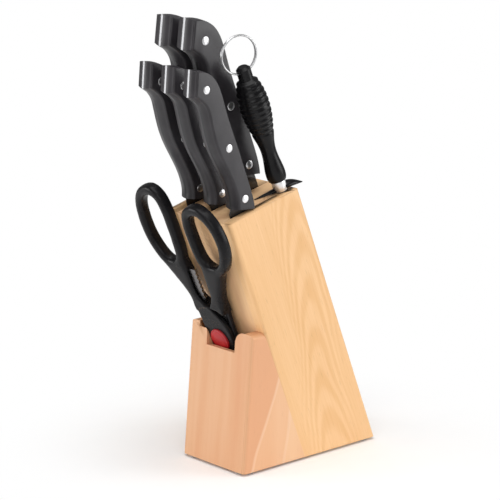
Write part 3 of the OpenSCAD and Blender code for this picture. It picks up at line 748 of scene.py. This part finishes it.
class KNIFEBLOCK_OT_sharpener(bpy.types.Operator):
    """Finish the sharpening steel: rod, winged guard, ferrule and ribbed grip"""

    bl_idname = "knifeblock.sharpener"
    bl_label = "Sharpening steel"

    def execute(self, context):
        steel = context.scene.block_steel
        MATERIALS["rod steel"] = brushed_steel(
            "rod steel", (0.5, 0.5, 0.52), 0.4, (2600, 2600, 30), 0.00004)
        MATERIALS["bright ferrule"] = brushed_steel(
            "bright ferrule", [1.08 * c for c in steel.chrome], 0.46, (300, 300, 900))
        MATERIALS["grip plastic"] = moulded_plastic("grip plastic", steel.grip, 0.3, specular=0.2)
        dress(frame["nodes"]["steel_rod"], SLOT_OF["steel_rod"], "rod steel")
        self.ferrule_and_guard()
        dress(frame["nodes"]["steel_handle"], SLOT_OF["steel_handle"], "grip plastic")
        return {"FINISHED"}

    def ferrule_and_guard(self):
        """Bright tube down to the block, and two wings that grow out of its sides."""
        low, high = lean_box("steel_ferrule")
        radius = (high.x - low.x) / 2
        axis = Vector(((low.x + high.x) / 2, (low.y + high.y) / 2, 0))
        guard = [TO_LEAN @ v.co - axis for v in frame["nodes"]["steel_guard"].data.vertices]
        seat = min(p.z for p in guard if math.hypot(p.x, p.y) < 1.1 * radius)
        middle = axis + Vector((0, 0, seat))
        base, tall, fillet = -0.0003, high.z - seat, 0.0005
        bevel = 0.3 * fillet
        bm = lathe([(0, base), (radius - fillet, base), (radius - bevel, base + bevel),
                    (radius, base + fillet), (radius, tall - fillet),
                    (radius - bevel, tall - bevel), (radius - fillet, tall), (0, tall)])
        tube = piece("bright_ferrule", bm, "steel_ferrule", FROM_LEAN @ Matrix.Translation(middle))
        dress(tube, SLOT_OF["steel_ferrule"], "bright ferrule")

        root, edge, tip_zone, tip_thick = 0.003, 0.0003, 0.003, 0.0009
        sections, corners = 16, 20
        wings = (  # side; half width and height at the root; hump halfway
            (-1, 0.0028, 0.0028, 0.0),
            (1, 0.0052, 0.005, 0.0026),
        )
        bm = bmesh.new()
        for side, root_wide, root_top, hump in wings:
            tip = max(guard, key=lambda p: side * p.y)
            tip_base = min(p.z for p in guard if (p.xy - tip.xy).length < tip_zone) - seat
            way, reach = tip.xy.normalized(), tip.xy.length
            rings = []
            for k in range(sections + 1):
                u = k / sections
                out = root + (reach - root) * u
                wide = root_wide * (1 - u ** 1.6) + edge
                low_z = base + (tip_base - base) * u
                high_z = (root_top * (1 - u) ** 1.2 + (tip_base + tip_thick) * u
                          + hump * math.sin(math.pi * u))
                turns = [2 * math.pi * j / corners for j in range(corners)]
                rings.append([bm.verts.new((
                    way.x * out - way.y * wide * math.cos(a),
                    way.y * out + way.x * wide * math.cos(a),
                    (high_z + low_z) / 2 + (high_z - low_z) / 2 * math.sin(a))) for a in turns])
            for near, far in zip(rings, rings[1:]):
                for j in range(corners):
                    i = (j + 1) % corners
                    bm.faces.new((near[j], near[i], far[i], far[j]))
            bm.faces.new(rings[0][::-1])
            bm.faces.new(rings[-1])
        winged = piece("winged_guard", bm, "steel_guard", FROM_LEAN @ Matrix.Translation(middle))
        dress(winged, SLOT_OF["steel_guard"], "grip plastic")


class KNIFEBLOCK_OT_ring(bpy.types.Operator):
    """Make the split ring that hangs the sharpening steel"""

    bl_idname = "knifeblock.ring"
    bl_label = "Split ring"

    def execute(self, context):
        steel = context.scene.block_steel
        MATERIALS["ring chrome"] = brushed_steel(
            "ring chrome", [0.72 * c for c in steel.chrome], 0.3, (500, 500, 500))
        axis = Vector(JOINTS["ring_hinge"]["axis"]).normalized()
        points = [v.co for v in frame["nodes"]["hanging_ring"].data.vertices]
        centre = sum(points, Vector()) / len(points)
        # The wire runs along the hinge's axis where it passes through the handle's eye, so the
        # ring's plane holds that axis and the way up the lean, and across is square to both
        across = axis.cross(UP_LEAN).normalized()
        out = max(abs((p - centre).dot(across)) for p in points)
        reach = max((p - centre).length for p in points)
        # The two turns press together: their centres lie this share of a wire's thickness apart
        closeness = 0.84
        wire = out / (1 + closeness)
        turn = reach - wire
        line = bpy.data.curves.new("split_ring", "CURVE")
        line.dimensions = "3D"
        line.bevel_depth = wire
        line.bevel_resolution = 6
        line.use_fill_caps = True
        turns, steps = 2, 168
        # In turns: where the wire crosses over to the other side, how far that takes, and its ends
        hop_start, hop_length, wire_end = 0.9, 0.2, 0.3
        coil = line.splines.new("POLY")
        coil.points.add(steps)
        frame_at = facing(across, centre)
        for k in range(steps + 1):
            t = turns * k / steps
            hop = min(1.0, max(0.0, (t - hop_start) / hop_length))
            lift = (hop * hop * (3 - 2 * hop) * 2 - 1) * closeness * wire
            angle = 2 * math.pi * (t + wire_end)
            spot = frame_at @ Vector((turn * math.cos(angle), turn * math.sin(angle), lift))
            coil.points[k].co = (*spot, 1)
        obj = bpy.data.objects.new("split_ring", line)
        context.scene.collection.objects.link(obj)
        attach(obj, BODY_OF["hanging_ring"])
        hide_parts("hanging_ring")
        dress(obj, SLOT_OF["hanging_ring"], "ring chrome")
        return {"FINISHED"}


class KNIFEBLOCK_OT_scissors(bpy.types.Operator):
    """Finish the scissors: rounded finger loops, toothed steel, pin and red button"""

    bl_idname = "knifeblock.scissors"
    bl_label = "Scissors"

    def execute(self, context):
        look = context.scene.block_scissors
        MATERIALS["loop plastic"] = moulded_plastic("loop plastic", look.plastic, 0.28, specular=0.14)
        MATERIALS["scissor steel"] = brushed_steel(
            "scissor steel", (0.2, 0.19, 0.19), 0.26, (60, 60, 2200))
        MATERIALS["button plastic"] = moulded_plastic("button plastic", look.button, 0.4, 0.00001)
        flat_within = 0.034
        pivot = sum(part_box("pivot_cap"), Vector()) / 2
        for side in ("left", "right"):
            handle, blade = "shear_handle_" + side, "shear_blade_" + side
            obj = moulded(handle, look.grain, look.edges, look.passes, pivot, flat_within)
            dress(obj, SLOT_OF[handle], "loop plastic")
            dress(frame["nodes"][blade], SLOT_OF[blade], "scissor steel")
        dress(frame["nodes"]["pivot_pin"], SLOT_OF["pivot_pin"], "rivet metal")
        low, high = lean_box("pivot_cap")
        r, t = (high.x - low.x) / 2, high.y - low.y
        # Shares of the radius and the thickness: a dome, a groove round it and a rim
        dome = [(0, 1), (0.35, 0.98), (0.6, 0.93), (0.78, 0.84), (0.83, 0.7), (0.87, 0.7), (0.91, 0.82),
                (0.97, 0.76), (1, 0.55), (1, 0), (0, 0)]
        bm = lathe([(a * r, b * t) for a, b in dome][::-1])
        at = FROM_LEAN @ Vector(((low.x + high.x) / 2, high.y, (low.z + high.z) / 2))
        out = FROM_LEAN.to_3x3() @ Vector((0, -1, 0))
        button = piece("red_button", bm, "pivot_cap", facing(out, at), 50)
        dress(button, SLOT_OF["pivot_cap"], "button plastic")
        return {"FINISHED"}


class KNIFEBLOCK_OT_studio(bpy.types.Operator):
    """Set up the floor, the lamps, the surroundings and the camera"""

    bl_idname = "knifeblock.studio"
    bl_label = "Studio"

    def execute(self, context):
        look = context.scene.block_studio
        scene = context.scene
        scene.view_settings.view_transform = "Standard"
        self.lay_floor(scene)
        self.light_room(scene, look)
        self.place_camera(scene, look)
        return {"FINISHED"}

    def lay_floor(self, scene):
        """Pale floor with the block's shadow, which goes over to white farther out."""
        half_size, fade_start, fade_end = 0.9, 0.09, 0.24
        f = Finish("pale floor")
        mottle = f.speckle(f.place(), 40, 3)
        colour = f.mix(mottle, (0.93, 0.93, 0.93), (0.96, 0.96, 0.96))
        shader = f.add("BsdfDiffuse", Color=colour)
        glow = f.add("Emission", Color=(1, 1, 1), Strength=1.0)
        flat = f.add("VectorMath", out=1, operation="LENGTH", Vector=f.place(0, (1, 1, 0)))
        eye = f.add("LightPath", out=0)
        far = f.sum("MULTIPLY", f.step(flat, fade_start, fade_end), eye)
        node = f.tree.nodes.new("ShaderNodeMixShader")
        for socket, value in zip(node.inputs, (far, shader, glow)):
            f.put(socket, value)
        out = f.tree.nodes.new("ShaderNodeOutputMaterial")
        f.tree.links.new(node.outputs[0], out.inputs["Surface"])
        bm = bmesh.new()
        bmesh.ops.create_grid(bm, x_segments=8, y_segments=8, size=half_size)
        mesh = bpy.data.meshes.new("floor")
        bm.to_mesh(mesh)
        bm.free()
        floor = bpy.data.objects.new("floor", mesh)
        scene.collection.objects.link(floor)
        floor.data.materials.append(f.material)
        floor.location.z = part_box("rubber_feet")[0].z

    def light_room(self, scene, look):
        """White surroundings, dimmer for everything but the camera, and four soft lamps."""
        sky_level = 0.25
        world = bpy.data.worlds.new("room")
        scene.world = world
        world.use_nodes = True
        nodes, links = world.node_tree.nodes, world.node_tree.links
        sky = nodes["Background"]
        sky.inputs["Color"].default_value = (1, 1, 1, 1)
        sky.inputs["Strength"].default_value = sky_level * look.light
        backdrop = nodes.new("ShaderNodeBackground")
        backdrop.inputs["Color"].default_value = (1, 1, 1, 1)
        seen, both = nodes.new("ShaderNodeLightPath"), nodes.new("ShaderNodeMixShader")
        links.new(seen.outputs["Is Camera Ray"], both.inputs[0])
        links.new(sky.outputs[0], both.inputs[1])
        links.new(backdrop.outputs[0], both.inputs[2])
        links.new(both.outputs[0], nodes["World Output"].inputs["Surface"])

        lamps = (  # place, size and power in watts
            ("right panel", (1.05, 0.95, 0.45), (0.8, 0.8), 8.5),
            ("left panel", (-0.95, -1.15, 0.25), (0.8, 0.8), 11.0),
            ("overhead", (0.25, -0.35, 1.9), (1.6, 1.6), 27),
            ("camera side", (1.25, -1.3, 0.75), (1.0, 1.0), 8.5),
        )
        aim = Vector((0, -0.02, 0.16))
        for name, spot, size, power in lamps:
            data = bpy.data.lights.new(name, "AREA")
            data.shape = "RECTANGLE"
            data.size, data.size_y = size
            data.energy = power * look.light
            lamp = bpy.data.objects.new(name, data)
            lamp.location = spot
            lamp.rotation_euler = (Vector(spot) - aim).to_track_quat("Z", "Y").to_euler()
            lamp.visible_camera = False
            scene.collection.objects.link(lamp)

    def place_camera(self, scene, look):
        """Camera that looks at the target from its azimuth and elevation."""
        a, e = look.azimuth, look.elevation
        back = Vector((math.sin(a) * math.cos(e), -math.cos(a) * math.cos(e), math.sin(e)))
        data = bpy.data.cameras.new("camera")
        data.lens = look.lens
        data.sensor_width = 36
        camera = bpy.data.objects.new("camera", data)
        camera.location = Vector(look.target) + back * look.distance
        camera.rotation_euler = back.to_track_quat("Z", "Y").to_euler()
        scene.collection.objects.link(camera)
        scene.camera = camera


class KNIFEBLOCK_PT_panel(bpy.types.Panel):
    """Knife block pieces and studio"""

    bl_label = "Knife block"
    bl_space_type = "VIEW_3D"
    bl_region_type = "UI"
    bl_category = "Knife block"

    def draw(self, context):
        for group in SETTINGS:
            box = self.layout.box()
            for prop in SETTINGS[group].__annotations__:
                box.prop(getattr(context.scene, group), prop)
        for operator in OPERATORS:
            self.layout.operator(operator.bl_idname)


SETTINGS = {
    "block_wood": WoodSettings,
    "block_handles": HandleSettings,
    "block_steel": SteelSettings,
    "block_scissors": ScissorSettings,
    "block_studio": StudioSettings,
}
OPERATORS = (
    KNIFEBLOCK_OT_studio,
    KNIFEBLOCK_OT_boards,
    KNIFEBLOCK_OT_wedge,
    KNIFEBLOCK_OT_blades,
    KNIFEBLOCK_OT_scales,
    KNIFEBLOCK_OT_rivets,
    KNIFEBLOCK_OT_sharpener,
    KNIFEBLOCK_OT_ring,
    KNIFEBLOCK_OT_scissors,
)


def register():
    for cls in (*SETTINGS.values(), *OPERATORS, KNIFEBLOCK_PT_panel):
        bpy.utils.register_class(cls)
    for name, group in SETTINGS.items():
        setattr(bpy.types.Scene, name, PointerProperty(type=group))


def unregister():
    for name in SETTINGS:
        delattr(bpy.types.Scene, name)
    for cls in reversed((*SETTINGS.values(), *OPERATORS, KNIFEBLOCK_PT_panel)):
        bpy.utils.unregister_class(cls)


def main():
    register()
    for operator in OPERATORS:
        group, name = operator.bl_idname.split(".")
        getattr(getattr(bpy.ops, group), name)()


if __name__ == "__main__":
    main()
